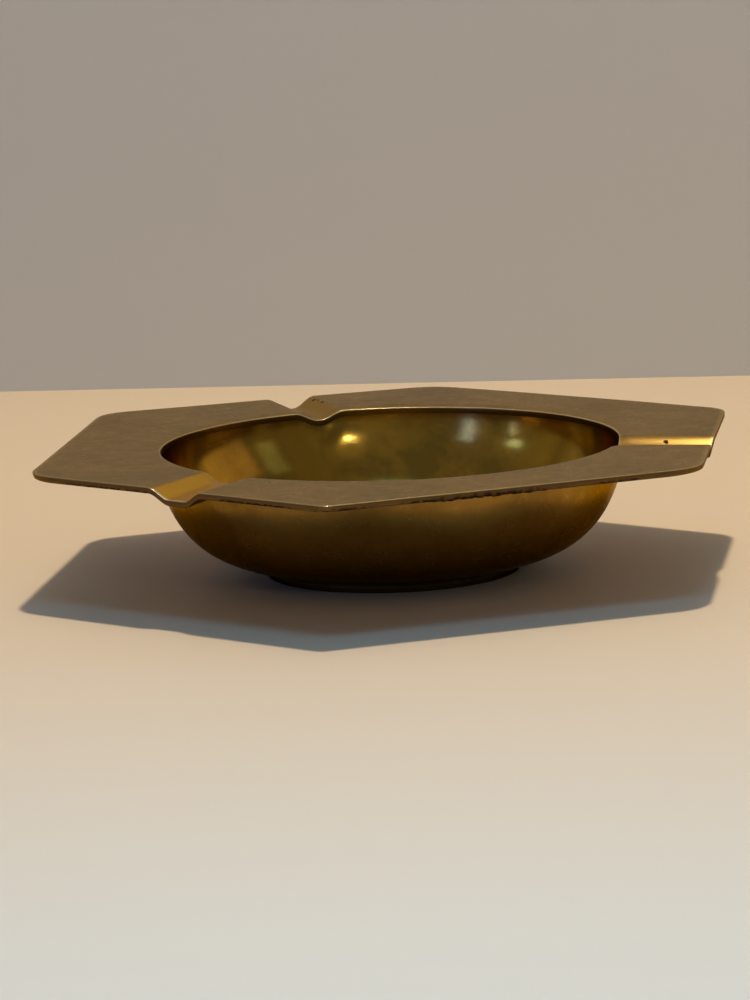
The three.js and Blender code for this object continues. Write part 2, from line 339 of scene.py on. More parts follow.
def mouth_point(outline_point):
    """The point on the mouth's edge for a point of the outline, in line with it along a rest."""
    edge_angles = [rest.direction + math.atan2(rest.offset, EDGE_REACH) for rest in RESTS]
    mouth_angles = [rest.direction + math.atan2(rest.offset, MOUTH_RADIUS) for rest in RESTS]
    shifts = [mouth - edge for mouth, edge in zip(mouth_angles, edge_angles)]
    gaps = [(angle_of(outline_point) - edge) % (2 * math.pi) for edge in edge_angles]
    before = gaps.index(min(gaps))
    after = (before + 1) % len(RESTS)
    part = gaps[before] / ((edge_angles[after] - edge_angles[before]) % (2 * math.pi))
    angle = angle_of(outline_point) + blend(shifts[before], shifts[after], part)
    direction = toward_angle(angle)
    sideways = MOUTH_CENTRE.x * direction.y - MOUTH_CENTRE.y * direction.x
    reach = MOUTH_CENTRE.dot(direction) + math.sqrt(MOUTH_RADIUS**2 - sideways**2)
    height = UNDERSIDE - LIP_DROP - pressed_depth(direction * reach)
    return direction * (reach - MOUTH_RADIUS + wall_radius(height))


def sheet_section(width, cornerness):
    """The flat sheet's section: (distance, height) pairs, clockwise from the mouth's lower edge."""
    near, far = TOP_ROUND, width - TOP_ROUND
    low_far = width - LOW_ROUND - FILED_CORNER * cornerness
    steps = [(row / BRIM_ROWS) ** ROW_CROWDING for row in range(1, BRIM_ROWS)]
    across = [near + (far - near) * step for step in steps]
    section = quarter_round(JOINT_ROUND, UNDERSIDE + JOINT_ROUND, JOINT_ROUND, -math.pi / 2)
    section += quarter_round(near, HEIGHT - TOP_ROUND, TOP_ROUND, math.pi)
    section += [(distance, HEIGHT) for distance in across]
    section += quarter_round(far, HEIGHT - TOP_ROUND, TOP_ROUND, math.pi / 2)
    section += quarter_round(low_far, UNDERSIDE + LOW_ROUND, LOW_ROUND, 0)
    section += [(low_far * (1 - row / BRIM_ROWS), UNDERSIDE) for row in range(1, BRIM_ROWS)]
    return section


def brim_marks(point, distance, to_outline, depth_part):
    """How worn, tarnished or rubbed the sheet is at one place, by the name of each mark."""
    upper_part = 1 - ease(depth_part / WEAR_DEPTH)
    # The lip's wear and painted highlight fade in towards the right.
    lip_part = ease((point.x - LIP_HIGHLIGHT_START) / LIP_HIGHLIGHT_FADE)
    return {
        "wear": (1 - ease(min(distance, to_outline) / EDGE_WEAR)) * upper_part,
        "lip": (1 - ease(distance / LIP_WEAR_AND_HIGHLIGHT)) * upper_part * lip_part,
        "skirt": depth_part * (1 - ease(to_outline / SKIRT_REACH)),
        "burr": burr_part(point, to_outline, depth_part),
        "mouth": 1.0 if distance < TOP_ROUND * MOUTH_FACE else 0.0,
        "rubbed": rubbed_part(point, True),
        "dulled": rubbed_part(point, False),
    }


def make_brim():
    """The hexagonal sheet with its rests, its rolled lip and the burr, and with its marks."""
    vertices, marks = [], {}
    for outer, cornerness in outline_points():
        inner = mouth_point(outer)
        outward = (outer - inner).normalized()
        width = (outer - inner).length - EDGE_PULL * pressed_depth(outer)
        for distance, height in sheet_section(width, cornerness):
            point = inner + outward * distance
            here = brim_marks(point, distance, width - distance, (HEIGHT - height) / SHEET)
            lowered = burr_depth(point, here["burr"])
            vertices.append((point.x, point.y, height + sheet_shift(point, distance) - lowered))
            for mark, value in here.items():
                marks.setdefault(mark, []).append(value)
    rows = len(sheet_section(EDGE_REACH - MOUTH_RADIUS, 0.0))
    faces = grid_faces(len(vertices) // rows, rows, True, True)
    return make_piece("brim_sheet", vertices, faces, marks)


# -------------------------------------------------- the bowl


def bowl_radius(height):
    """Radius of the bowl's outside at a height."""
    depth_part = (HEIGHT - height) / BOWL_REACH
    return BOWL_RADIUS * (1 - depth_part**BOWL_SIDE_POWER) ** (1 / BOWL_FLOOR_POWER)


def bowl_height(radius):
    """Height of the bowl's outside at a radius."""
    radius_part = (radius / BOWL_RADIUS) ** BOWL_FLOOR_POWER
    return HEIGHT - BOWL_REACH * (1 - radius_part) ** (1 / BOWL_SIDE_POWER)


def wall_radius(height):
    """Radius of the wall's inner side near its upper edge, where it is flush with the mouth."""
    return bowl_radius(height) * MOUTH_RADIUS / bowl_radius(UNDERSIDE - LIP_DROP)


def bowl_profile(top):
    """The wall's outer curve, from the flat bottom's edge up to a height, and its inner curve."""
    outside = []
    for row in range(BOWL_ROWS + 1):
        height = BOWL_BOTTOM + (top - BOWL_BOTTOM) * (row / BOWL_ROWS) ** 2
        outside.append(Vector((bowl_radius(height), height)))
    inside = []
    for row, point in enumerate(outside):
        along = (outside[min(row + 1, BOWL_ROWS)] - outside[max(row - 1, 0)]).normalized()
        inside.append(point + BOWL_WALL * Vector((-along.y, along.x)))
    inside[0] = outside[0] + Vector((0, BOWL_WALL))
    for point in inside:
        near_top = ease((point.y - UNDERSIDE + NECK_HEIGHT) / NECK_FADE)
        point.x = blend(point.x, wall_radius(min(point.y, top)), near_top)
    inside[-1] = Vector((wall_radius(top), top))
    return outside, inside


def dent_depth(point, below_edge):
    """How far a rest above it has pushed the wall in, at a distance below the wall's edge."""
    fading = 1 - ease(below_edge / DENT_REACH)
    shape = sum(rest_shape(rest, sideways) for rest, sideways in within_rests(point))
    return DENT * shape * fading * ease(below_edge / DENT_GROWTH)


def bowl_section(pressed, top):
    """The bowl's section where the brim is pressed down so far: (radius, height) pairs, from near
    the middle of its underside out, up, and back down inside."""
    outside, inside = bowl_profile(top)
    outer_top = UNDERSIDE - pressed - lip_drop(BOWL_WALL) + CONTACT
    flat = [outside[0].x * row / FLOOR_ROWS for row in range(1, FLOOR_ROWS)]
    section = [(radius, BOWL_BOTTOM) for radius in flat]
    section += [tuple(point) for point in outside[:-1]]
    section.append((outside[-1].x, outer_top))
    section += [tuple(point) for point in reversed(inside)]
    section += [(radius, BOWL_BOTTOM + BOWL_WALL) for radius in reversed(flat)]
    return section


def grime_and_shade_part(edge, below_edge, inside):
    """How grimy the wall is, and how much painted shade it carries, at a distance below its edge.
    """
    if inside:
        return INNER_GRIME_AND_SHADE_STRENGTH * (1 - ease(below_edge / INNER_GRIME_AND_SHADE))
    # Outside, the painted shadow of the brim falls only on the left.
    to_the_left = 1 - ease((edge.x - OUTER_SHADOW_START) / OUTER_SHADOW_FADE)
    return OUTER_GRIME_AND_SHADOW_STRENGTH * to_the_left * (1 - ease(below_edge / OUTER_GRIME_AND_SHADOW))


def make_bowl():
    """A spun cup whose upper edge follows the underside of the brim, rests included."""
    vertices, inner, joint = [], [], []
    for column in range(TURNED_COLUMNS):
        outward = toward_angle(2 * math.pi * column / TURNED_COLUMNS)
        edge = MOUTH_CENTRE + (MOUTH_RADIUS + BOWL_WALL / 2) * outward
        pressed = pressed_depth(edge)
        top = UNDERSIDE - pressed - LIP_DROP + CONTACT
        section = bowl_section(pressed, top)
        for row, (radius, height) in enumerate(section):
            radius -= dent_depth(edge, top - height)
            place = MOUTH_CENTRE + radius * outward
            vertices.append((place.x, place.y, height))
            inside = row >= len(section) // 2
            inner.append(float(inside))
            joint.append(grime_and_shade_part(edge, top - height, inside))
    rows = len(section)
    faces = grid_faces(TURNED_COLUMNS, rows, True, False)
    under, over = len(vertices), len(vertices) + 1
    vertices.append((MOUTH_CENTRE.x, MOUTH_CENTRE.y, BOWL_BOTTOM))
    vertices.append((MOUTH_CENTRE.x, MOUTH_CENTRE.y, BOWL_BOTTOM + BOWL_WALL))
    inner += [0.0, 1.0]
    joint += [0.0, 0.0]
    for column in range(TURNED_COLUMNS):
        here, there = column * rows, (column + 1) % TURNED_COLUMNS * rows
        faces.append((under, here, there))
        faces.append((over, there + rows - 1, here + rows - 1))
    return make_piece("bowl_cup", vertices, faces, {"inner": inner, "joint": joint})


# -------------------------------------------------- solder seams and foot


def crossing_angle(rest):
    """The direction from the bowl's centre in which a rest crosses the bowl's wall."""
    sideways = rest.offset - MOUTH_CENTRE.dot(rest.left)
    return rest.direction + math.asin(sideways / BOWL_RADIUS)


def make_brim_seam(name, start, end):
    """A concave fillet of solder under the brim, uneven, and thinning out at both ends."""
    wall = bowl_radius(UNDERSIDE - SEAM_LEG / 2)
    inside_wall = wall - SOLDER_BITE
    inside_sheet = SOLDER_BITE / 2
    distance = wall - MOUTH_RADIUS
    vertices = []
    for column in range(SEAM_COLUMNS + 1):
        part = column / SEAM_COLUMNS
        outward = toward_angle(blend(start, end, part))
        top = UNDERSIDE - lip_drop(distance) + sheet_lift(MOUTH_CENTRE + outward * wall)
        taper = ease(min(part, 1 - part) / SEAM_TAPER)
        waves = noise.noise(Vector((outward.x, outward.y, NOISE_LEVEL)) * SEAM_WAVES)
        leg = SEAM_LEG * blend(SEAM_THIN, 1, taper) * (SEAM_MEAN + SEAM_WANDER * waves)
        section = [(inside_wall, top + CONTACT), (inside_wall, top - leg)]
        for step in range(FILLET_STEPS + 1):
            turn = math.pi / 2 * step / FILLET_STEPS
            section.append((wall + leg * (1 - math.cos(turn)), top - leg * (1 - math.sin(turn))))
        section.append((wall + leg, top + inside_sheet))
        for radius, height in section:
            place = MOUTH_CENTRE + outward * radius
            vertices.append((place.x, place.y, height))
    rows = len(section)
    faces = grid_faces(SEAM_COLUMNS + 1, rows, False, True)
    faces.append(tuple(range(rows)))
    faces.append(tuple(reversed(range(SEAM_COLUMNS * rows, SEAM_COLUMNS * rows + rows))))
    return make_piece(name, vertices, [tuple(reversed(face)) for face in faces])


def make_turned(name, section):
    """A closed section of (radius, height) pairs, clockwise, turned about the bowl's axis."""
    vertices = []
    for column in range(TURNED_COLUMNS):
        outward = toward_angle(2 * math.pi * column / TURNED_COLUMNS)
        for radius, height in section:
            place = MOUTH_CENTRE + radius * outward
            vertices.append((place.x, place.y, height))
    return make_piece(name, vertices, grid_faces(TURNED_COLUMNS, len(section), True, True))


def make_foot_ring():
    """A turned ring whose top fits the bowl, with rounded edges at the table."""
    inner, outer = FOOT_RADIUS - FOOT_WIDTH, FOOT_RADIUS
    near, far = inner + FOOT_ROUND, outer - FOOT_ROUND
    top_radii = [inner + FOOT_WIDTH * step / FOOT_STEPS for step in range(FOOT_STEPS + 1)]
    section = [(radius, bowl_height(radius) + CONTACT) for radius in top_radii]
    section += quarter_round(far, FOOT_ROUND, FOOT_ROUND, 0)
    under = [near + (far - near) * step / FOOT_STEPS for step in range(FOOT_STEPS - 1, 0, -1)]
    section += [(radius, 0) for radius in under]
    section += quarter_round(near, FOOT_ROUND, FOOT_ROUND, -math.pi / 2)
    return make_turned("foot_ring_turned", section)


def make_foot_seam():
    """The fillet of solder in the corner between the foot ring and the bowl."""
    leg, inside_ring = FOOT_SEAM_LEG, FOOT_RADIUS - SOLDER_BITE
    corner, top = bowl_height(FOOT_RADIUS), bowl_height(FOOT_RADIUS + leg)
    drop = top - corner + leg
    section = [(inside_ring, corner - leg), (inside_ring, corner + CONTACT)]
    for step in range(1, FILLET_STEPS + 1):
        radius = FOOT_RADIUS + leg * step / FILLET_STEPS
        section.append((radius, bowl_height(radius) + CONTACT))
    for step in range(1, FILLET_STEPS + 1):
        turn = math.pi / 2 * step / FILLET_STEPS
        radius = FOOT_RADIUS + leg * (1 - math.sin(turn))
        section.append((radius, top - drop * (1 - math.cos(turn))))
    return make_turned("foot_solder", section)


# -------------------------------------------------- materials


class Shader:
    """A material's node tree, with short calls for the nodes used here."""

    def __init__(self, name):
        self.material = bpy.data.materials.new(name)
        self.material.use_nodes = True
        self.tree = self.material.node_tree
        self.surface = self.tree.nodes["Principled BSDF"]
        self.place = self.add("ShaderNodeTexCoord").outputs["Object"]

    def add(self, kind, **settings):
        """A new node."""
        node = self.tree.nodes.new(kind)
        for key, value in settings.items():
            setattr(node, key, value)
        return node

    def link(self, source, target):
        """Joins an output socket to an input socket."""
        self.tree.links.new(source, target)

    def feed(self, node, name, value):
        """A socket gets another socket's value, or a fixed one."""
        if isinstance(value, bpy.types.NodeSocket):
            self.link(value, node.inputs[name])
        else:
            node.inputs[name].default_value = value

    def noise(self, size, detail=4.0, roughness=0.55, stretch=(1, 1, 1), distortion=0.0):
        """Fractal noise whose features are about size metres across, from 0 to 1."""
        mapping = self.add("ShaderNodeMapping")
        mapping.inputs["Scale"].default_value = stretch
        self.link(self.place, mapping.inputs["Vector"])
        node = self.add("ShaderNodeTexNoise")
        self.link(mapping.outputs["Vector"], node.inputs["Vector"])
        node.inputs["Scale"].default_value = 1 / size
        node.inputs["Detail"].default_value = detail
        node.inputs["Roughness"].default_value = roughness
        node.inputs["Distortion"].default_value = distortion
        return node.outputs["Fac"]

    def spots(self, size, reach, share):
        """Small round spots: 1 in a spot, 0 elsewhere. share is the part of the cells with one."""
        cells = self.add("ShaderNodeTexVoronoi")
        cells.inputs["Scale"].default_value = 1 / size
        self.link(self.place, cells.inputs["Vector"])
        near = self.ramp(cells.outputs["Distance"], [(reach * 0.5, 1.0), (reach, 0.0)])
        lot = self.channel(cells.outputs["Color"])
        chosen = self.ramp(lot, [(share, 1.0), (share + 0.001, 0.0)])
        return self.math("MULTIPLY", near, chosen)

    def pits(self, places):
        """1 inside small ragged pits at the given (x, y, radius) places, 0 elsewhere."""
        found = None
        ragged = self.math("MULTIPLY", self.noise(0.8 * MM, detail=3), 2 * PIT_RAGGEDNESS)
        for x, y, radius in places:
            centre = self.add("ShaderNodeVectorMath", operation="MULTIPLY_ADD")
            self.link(self.place, centre.inputs[0])
            centre.inputs[1].default_value = (1, 1, 0)
            centre.inputs[2].default_value = (-x * MM, -y * MM, 0)
            length = self.add("ShaderNodeVectorMath", operation="LENGTH")
            self.link(centre.outputs["Vector"], length.inputs[0])
            reach = self.math("ADD", length.outputs["Value"], ragged)
            one = self.math("LESS_THAN", reach, radius * MM + PIT_RAGGEDNESS)
            found = one if found is None else self.math("MAXIMUM", found, one)
        return found

    def channel(self, colour):
        """A colour's red part."""
        node = self.add("ShaderNodeSeparateColor")
        self.link(colour, node.inputs["Color"])
        return node.outputs["Red"]

    def fade(self, axis, start, end):
        """A number that goes from 0 to 1 between two places on an axis."""
        parts = self.add("ShaderNodeSeparateXYZ")
        self.link(self.place, parts.inputs["Vector"])
        part = self.math("DIVIDE", self.math("SUBTRACT", parts.outputs[axis], start), end - start)
        return self.rise(part, (0.0, 1.0))

    def attribute(self, name):
        """One of the marks that the mesh carries."""
        return self.add("ShaderNodeAttribute", attribute_name=name).outputs["Fac"]

    def math(self, operation, first, second):
        """A sum, product or the like of two numbers, each a socket or fixed."""
        node = self.add("ShaderNodeMath", operation=operation)
        self.feed(node, 0, first)
        self.feed(node, 1, second)
        return node.outputs["Value"]

    def product(self, first, *others):
        """All the given numbers multiplied."""
        for other in others:
            first = self.math("MULTIPLY", first, other)
        return first

    def ramp(self, value, stops):
        """A number or a colour read off a list of (position, value) stops."""
        node = self.add("ShaderNodeValToRGB")
        elements = node.color_ramp.elements
        while len(elements) < len(stops):
            elements.new(0.5)
        for element, (position, stop) in zip(elements, stops):
            element.position = position
            element.color = (*stop, 1) if isinstance(stop, tuple) else (stop, stop, stop, 1)
        self.link(value, node.inputs["Fac"])
        return node.outputs["Color"]

    def rise(self, value, limits):
        """0 up to the first limit, 1 from the second one on, and in proportion between them."""
        return self.ramp(value, [(limits[0], 0.0), (limits[1], 1.0)])

    def between(self, part, first, second):
        """A number that goes from first to second as part goes from 0 to 1."""
        change = self.math("SUBTRACT", second, first)
        return self.math("ADD", first, self.product(part, change))

    def mix(self, part, first, second):
        """A colour between two others, each a socket or fixed."""
        node = self.add("ShaderNodeMix", data_type="RGBA")
        self.feed(node, 0, part)
        for index, colour in ((6, first), (7, second)):
            if isinstance(colour, tuple):
                colour = (*colour, 1)
            self.feed(node, index, colour)
        return node.outputs[2]

    def bump(self, height, distance, before=None):
        """A normal tilted by a height pattern, on top of an earlier one."""
        node = self.add("ShaderNodeBump")
        node.inputs["Distance"].default_value = distance
        self.link(height, node.inputs["Height"])
        if before is not None:
            self.link(before, node.inputs["Normal"])
        return node.outputs["Normal"]


# Metals: the reflected colour (linear RGB) where clean and where tarnished, the roughness, and the
# tint of what they reflect at a glancing angle.
BRIM_METAL = ((0.49, 0.34, 0.155), (0.33, 0.25, 0.14), 0.30, (0.79, 0.665, 0.49))
OUTER_METAL = ((0.39, 0.23, 0.052), (0.26, 0.145, 0.028), 0.30, (0.7, 0.52, 0.25))
# The foot's colours are darkened as painted shade.
SHADED_FOOT_METAL = ((0.07, 0.038, 0.011), (0.035, 0.02, 0.006), 0.50, (0.25, 0.18, 0.12))
SOLDER_METAL = ((0.16, 0.10, 0.04), (0.08, 0.05, 0.02), 0.50, (0.4, 0.3, 0.2))

# Finishes, painted highlights and painted shade that are laid over a metal: the colour, and the
# roughness unless it stays as it was.
SCRATCHED = ((0.55, 0.42, 0.22), None)
RUBBED = ((0.78, 0.44, 0.07), 0.27)         # the left rest, rubbed down to yellow metal
DULLED = ((0.48, 0.30, 0.085), 0.20)        # the other rests
WORN = ((0.80, 0.60, 0.28), 0.24)           # the upper edges
# the lip: worn bright, with a painted highlight
LIP_WORN_AND_HIGHLIGHT = ((1.0, 0.82, 0.46), 0.26)
RUBBED_EDGE_HIGHLIGHT = ((1.0, 0.86, 0.52), 0.32)     # painted highlight along the outer edge of the rubbed rest
SKIRT = ((0.15, 0.09, 0.034), 0.42)         # the outer edge's face
# dark specks along the lower part of the outer edge and under it
SKIRT_DARK_SPECKS = ((0.03, 0.018, 0.01), 0.6)
BURR_CRUMBS = ((0.02, 0.010, 0.005), 0.7)
BRIM_PIT = ((0.05, 0.03, 0.015), 0.6)
BOWL_PIT = ((0.06, 0.035, 0.01), 0.6)
OUTER_LOW_SHADE = ((0.022, 0.009, 0.002), None)   # painted shade: the bowl's outside darkens towards the foot
LEFT_BROWNING = ((0.36, 0.19, 0.015), None)  # its inside is browner on the left
RIGHT_PAINTED_SHEEN = ((0.86, 0.47, 0.05), None)    # painted sheen: brighter in a patch at the back right
DUST = ((0.55, 0.48, 0.30), 0.4)
JOINT_GRIME_AND_SHADE = ((0.15, 0.09, 0.022), None)   # grime and painted shade on the wall along the joint under the lip, painted shadow under the brim outside
MOUTH_SHADE = (JOINT_GRIME_AND_SHADE[0], 0.3)         # painted shade on the mouth's face above it
INNER_CLEAN = (0.70, 0.42, 0.065)           # the bowl's polished inside
INNER_TARNISHED = (0.42, 0.27, 0.05)
INNER_ROUGHNESS = 0.15

# How strongly some of them show.
SCRATCH_STRENGTH = 0.25
LEFT_STRENGTH = 0.55
RIGHT_SHEEN_STRENGTH = 0.6
DUST_STRENGTH = 0.35

# Patterns in the metal. A range holds the two noise values between which a pattern appears.
CLOUD_SIZE = 22 * MM                # broad clouds of tarnish
CLOUD_SHARE = 0.65                  # their part in the tarnish, where the mottling has the rest
CLOUD_RELIEF = 0.06 * MM
MOTTLE_SIZE = 3.5 * MM              # finer mottling
TARNISH_RANGE = (0.38, 0.62)
SMOOTHER, ROUGHER = 0.85, 1.15      # the mottling changes the roughness between these factors
GRAIN_SIZE = 0.35 * MM
GRAIN_RELIEF = 0.003 * MM
SCRATCH_TURNS = (20, 74, 131)       # the ways that the scratches run, in degrees
SCRATCH_SIZE = 0.5 * MM             # their spacing
SCRATCH_STRETCH = 0.03              # and its ratio to their length
SCRATCH_RANGE = (0.66, 0.74)
SCRATCH_DEPTH = 0.003 * MM
SKIRT_EDGE = (0.0, 0.12)            # the outer edge's finish starts at this much of its mark
SKIRT_LOW = (0.50, 0.70)            # and its dark specks at this much
SPECK_SIZE = 1.2 * MM
SPECK_RANGE = (0.42, 0.52)
PATCH_SIZE = 18 * MM                # the specks come in patches
PATCH_RANGE = (0.46, 0.52)
CRUMB_SIZE = 1.6 * MM
BLOTCH_SIZE = 13 * MM
DUST_SIZE = 0.9 * MM
DUST_RANGE = (0.58, 0.75)
SOLDER_LUMP = 1.4 * MM
SOLDER_RELIEF = 0.15 * MM

# Places on the bowl where a finish, a painted shade or a painted sheen fades in, along one axis.
LOW_FADE = (15 * MM, 2 * MM)
LEFT_FADE = (-10 * MM, -24 * MM)
RIGHT_FADE = (20 * MM, 32 * MM)
FAR_RIGHT_FADE = (44 * MM, 35 * MM)
BACK_FADE = (5 * MM, 20 * MM)

# Small round spots: the size of the cells, a spot's reach in its cell, and the share of the cells
# that hold one.
BRIM_SPOTS = (9 * MM, 0.035, 0.05)
BOWL_SPOTS = (6 * MM, 0.04, 0.06)
FOOT_SPOTS = (3 * MM, 0.06, 0.3)
BRIM_PIT_DEPTH = 0.08 * MM
SMALL_PIT_DEPTH = 0.05 * MM         # in the bowl and the foot
PIT_RAGGEDNESS = 0.6 * MM
BRIM_PITS = [                       # larger casting pits: x, y and radius in mm
    (-27.5, 66.1, 0.6),
    (-26.2, 64.6, 0.35),
    (-24.7, 61.2, 0.5),
    (63.9, 2.2, 0.55),
]


class Brass(Shader):
    """Aged brass: mottled tarnish and grain."""

    def __init__(self, name, clean, tarnished, roughness, tint):
        super().__init__(name)
        self.surface.inputs["Metallic"].default_value = 1.0
        self.surface.inputs["Specular Tint"].default_value = (*tint, 1)
        clouds = self.noise(CLOUD_SIZE, detail=5)
        mottle = self.noise(MOTTLE_SIZE, detail=6, roughness=0.6)
        both = self.between(CLOUD_SHARE, mottle, clouds)
        self.colour = self.mix(self.rise(both, TARNISH_RANGE), clean, tarnished)
        self.rough = self.ramp(mottle, [(0.3, roughness * SMOOTHER), (0.7, roughness * ROUGHER)])
        grain = self.noise(GRAIN_SIZE, detail=3)
        self.normal = self.bump(clouds, CLOUD_RELIEF, self.bump(grain, GRAIN_RELIEF))

    def lay(self, part, finish):
        """Covers the surface with a finish, or with painted light or shade, where part is 1."""
        colour, roughness = finish
        self.colour = self.mix(part, self.colour, colour)
        if roughness is not None:
            self.rough = self.between(part, self.rough, roughness)

    def press(self, height, depth):
        """Raises the surface where height is 1, or sinks it where depth is negative."""
        self.normal = self.bump(height, depth, self.normal)

    def finish(self):
        """The material, once all its finishes are laid."""
        self.link(self.colour, self.surface.inputs["Base Color"])
        self.link(self.rough, self.surface.inputs["Roughness"])
        self.link(self.normal, self.surface.inputs["Normal"])
        return self.material


def scratches(shader, turn):
    """Thin straight scratches running one way, from 0 to 1."""
    mapping = shader.add("ShaderNodeMapping")
    mapping.inputs["Rotation"].default_value = (0, 0, math.radians(turn))
    mapping.inputs["Scale"].default_value = (1, SCRATCH_STRETCH, 1)
    shader.link(shader.place, mapping.inputs["Vector"])
    node = shader.add("ShaderNodeTexNoise")
    shader.link(mapping.outputs["Vector"], node.inputs["Vector"])
    node.inputs["Scale"].default_value = 1 / SCRATCH_SIZE
    node.inputs["Detail"].default_value = 2
    return shader.rise(node.outputs["Fac"], SCRATCH_RANGE)


def lay_edges(brass):
    """The brim's outer edge: tarnished, with dark specks along its lower part and under it, and
    with the burr's dark crumbs.
    """
    skirt = brass.attribute("skirt")
    brass.lay(brass.rise(skirt, SKIRT_EDGE), SKIRT)
    specks = brass.rise(brass.noise(SPECK_SIZE, stretch=(1, 1, 3)), SPECK_RANGE)
    patches = brass.rise(brass.noise(PATCH_SIZE, detail=2), PATCH_RANGE)
    # Dark specks, in patches, along the lower part of the outer edge and under it.
    brass.lay(brass.product(brass.rise(skirt, SKIRT_LOW), specks, patches), SKIRT_DARK_SPECKS)
    crumbs = brass.ramp(brass.noise(CRUMB_SIZE, detail=3), [(0.40, 1.0), (0.56, 0.25)])
    brass.lay(brass.product(brass.attribute("burr"), crumbs), BURR_CRUMBS)


def lay_wear(brass):
    """The brim's edges worn bright, most of all along the lip and across the rubbed rest, where
    painted highlights are laid as well.
    """
    wear, rubbed = brass.attribute("wear"), brass.attribute("rubbed")
    brass.lay(wear, WORN)
    # Wear and a painted highlight along the lip.
    brass.lay(brass.attribute("lip"), LIP_WORN_AND_HIGHLIGHT)
    # Painted highlight along the rubbed rest's worn outer edge.
    brass.lay(brass.product(wear, rubbed, rubbed), RUBBED_EDGE_HIGHLIGHT)


def brim_brass():
    """Greyish, scratched brass, yellower in the rests."""
    brass = Brass("brim_brass", *BRIM_METAL)
    for turn in SCRATCH_TURNS:
        lines = scratches(brass, turn)
        brass.lay(brass.product(lines, SCRATCH_STRENGTH), SCRATCHED)
        brass.press(lines, -SCRATCH_DEPTH)
    brass.lay(brass.attribute("rubbed"), RUBBED)
    brass.lay(brass.attribute("dulled"), DULLED)
    pits = brass.math("MAXIMUM", brass.spots(*BRIM_SPOTS), brass.pits(BRIM_PITS))
    brass.lay(pits, BRIM_PIT)
    brass.press(pits, -BRIM_PIT_DEPTH)
    lay_edges(brass)
    # Painted shade on the mouth's face.
    brass.lay(brass.attribute("mouth"), MOUTH_SHADE)
    lay_wear(brass)
    return brass.finish()


def lay_inside(brass, inner):
    """The bowl's inside: polished but blotchy, browner on the left, with a painted sheen in a
    brighter patch at the back right.
    """
    blotches = brass.noise(BLOTCH_SIZE, detail=6, roughness=0.6, distortion=0.6)
    patina = brass.ramp(blotches, [(0.40, INNER_CLEAN), (0.60, INNER_TARNISHED)])
    brass.lay(inner, (patina, INNER_ROUGHNESS))
    left = brass.fade("X", *LEFT_FADE)
    brass.lay(brass.product(inner, left, LEFT_STRENGTH), LEFT_BROWNING)
    # Painted sheen: a brighter patch at the back right of the inside.
    right = brass.product(brass.fade("X", *RIGHT_FADE), brass.fade("X", *FAR_RIGHT_FADE))
    back = brass.fade("Y", *BACK_FADE)
    brass.lay(brass.product(inner, right, back, RIGHT_SHEEN_STRENGTH), RIGHT_PAINTED_SHEEN)


def bowl_brass():
    """Yellow brass, polished inside, and dull outside, with painted shade darkening it towards the
    foot.
    """
    brass = Brass("bowl_brass", *OUTER_METAL)
    inner = brass.attribute("inner")
    lay_inside(brass, inner)
    # Grime and painted shade along the joint under the lip; outside, a painted shadow under the
    # brim.
    brass.lay(brass.attribute("joint"), JOINT_GRIME_AND_SHADE)
    outer = brass.math("SUBTRACT", 1.0, inner)
    # Painted shade: the outside darkens towards the foot.
    brass.lay(brass.product(brass.fade("Z", *LOW_FADE), outer), OUTER_LOW_SHADE)
    dust = brass.rise(brass.noise(DUST_SIZE, detail=5, roughness=0.7), DUST_RANGE)
    brass.lay(brass.product(dust, inner, DUST_STRENGTH), DUST)
    pits = brass.spots(*BOWL_SPOTS)
    brass.lay(pits, BOWL_PIT)
    brass.press(pits, -SMALL_PIT_DEPTH)
    return brass.finish()


def foot_brass():
    """Rough, pitted brass, darkened all over as painted shade."""
    brass = Brass("foot_brass", *SHADED_FOOT_METAL)
    brass.press(brass.spots(*FOOT_SPOTS), -SMALL_PIT_DEPTH)
    return brass.finish()


def solder():
    """Dull, lumpy metal."""
    metal = Brass("solder", *SOLDER_METAL)
    metal.press(metal.noise(SOLDER_LUMP, detail=3), SOLDER_RELIEF)
    return metal.finish()


# -------------------------------------------------- camera

CAMERA_AZIMUTH = math.radians(8.824)
CAMERA_ELEVATION = math.radians(9.058)
CAMERA_TARGET = Vector((-0.4 * MM, 1.2 * MM, HEIGHT))
CAMERA_DISTANCE = 1108.6 * MM
CAMERA_LENS = 174.65
CAMERA_YAW = math.radians(0.140)    # then turned by these, so that the dish stands where it should
CAMERA_PITCH = math.radians(-0.702)
CAMERA_ROLL = math.radians(-1.937)
CAMERA_NEAREST = 50 * MM            # anything nearer isn't drawn


def make_camera():
    """A long lens, looking a little down at the dish."""
    away = Vector((
        math.sin(CAMERA_AZIMUTH) * math.cos(CAMERA_ELEVATION),
        -math.cos(CAMERA_AZIMUTH) * math.cos(CAMERA_ELEVATION),
        math.sin(CAMERA_ELEVATION),
    ))
    data = bpy.data.cameras.new("camera")
    data.lens = CAMERA_LENS
    data.clip_start = CAMERA_NEAREST
    camera = bpy.data.objects.new("camera", data)
    aim = away.to_track_quat("Z", "Y").to_matrix().to_4x4()
    turn = Matrix.Rotation(CAMERA_YAW, 4, "Y") @ Matrix.Rotation(CAMERA_PITCH, 4, "X")
    turn = turn @ Matrix.Rotation(CAMERA_ROLL, 4, "Z")
    place = Matrix.Translation(CAMERA_TARGET + away * CAMERA_DISTANCE)
    camera.matrix_world = place @ aim @ turn
    bpy.context.scene.collection.objects.link(camera)
    bpy.context.scene.camera = camera


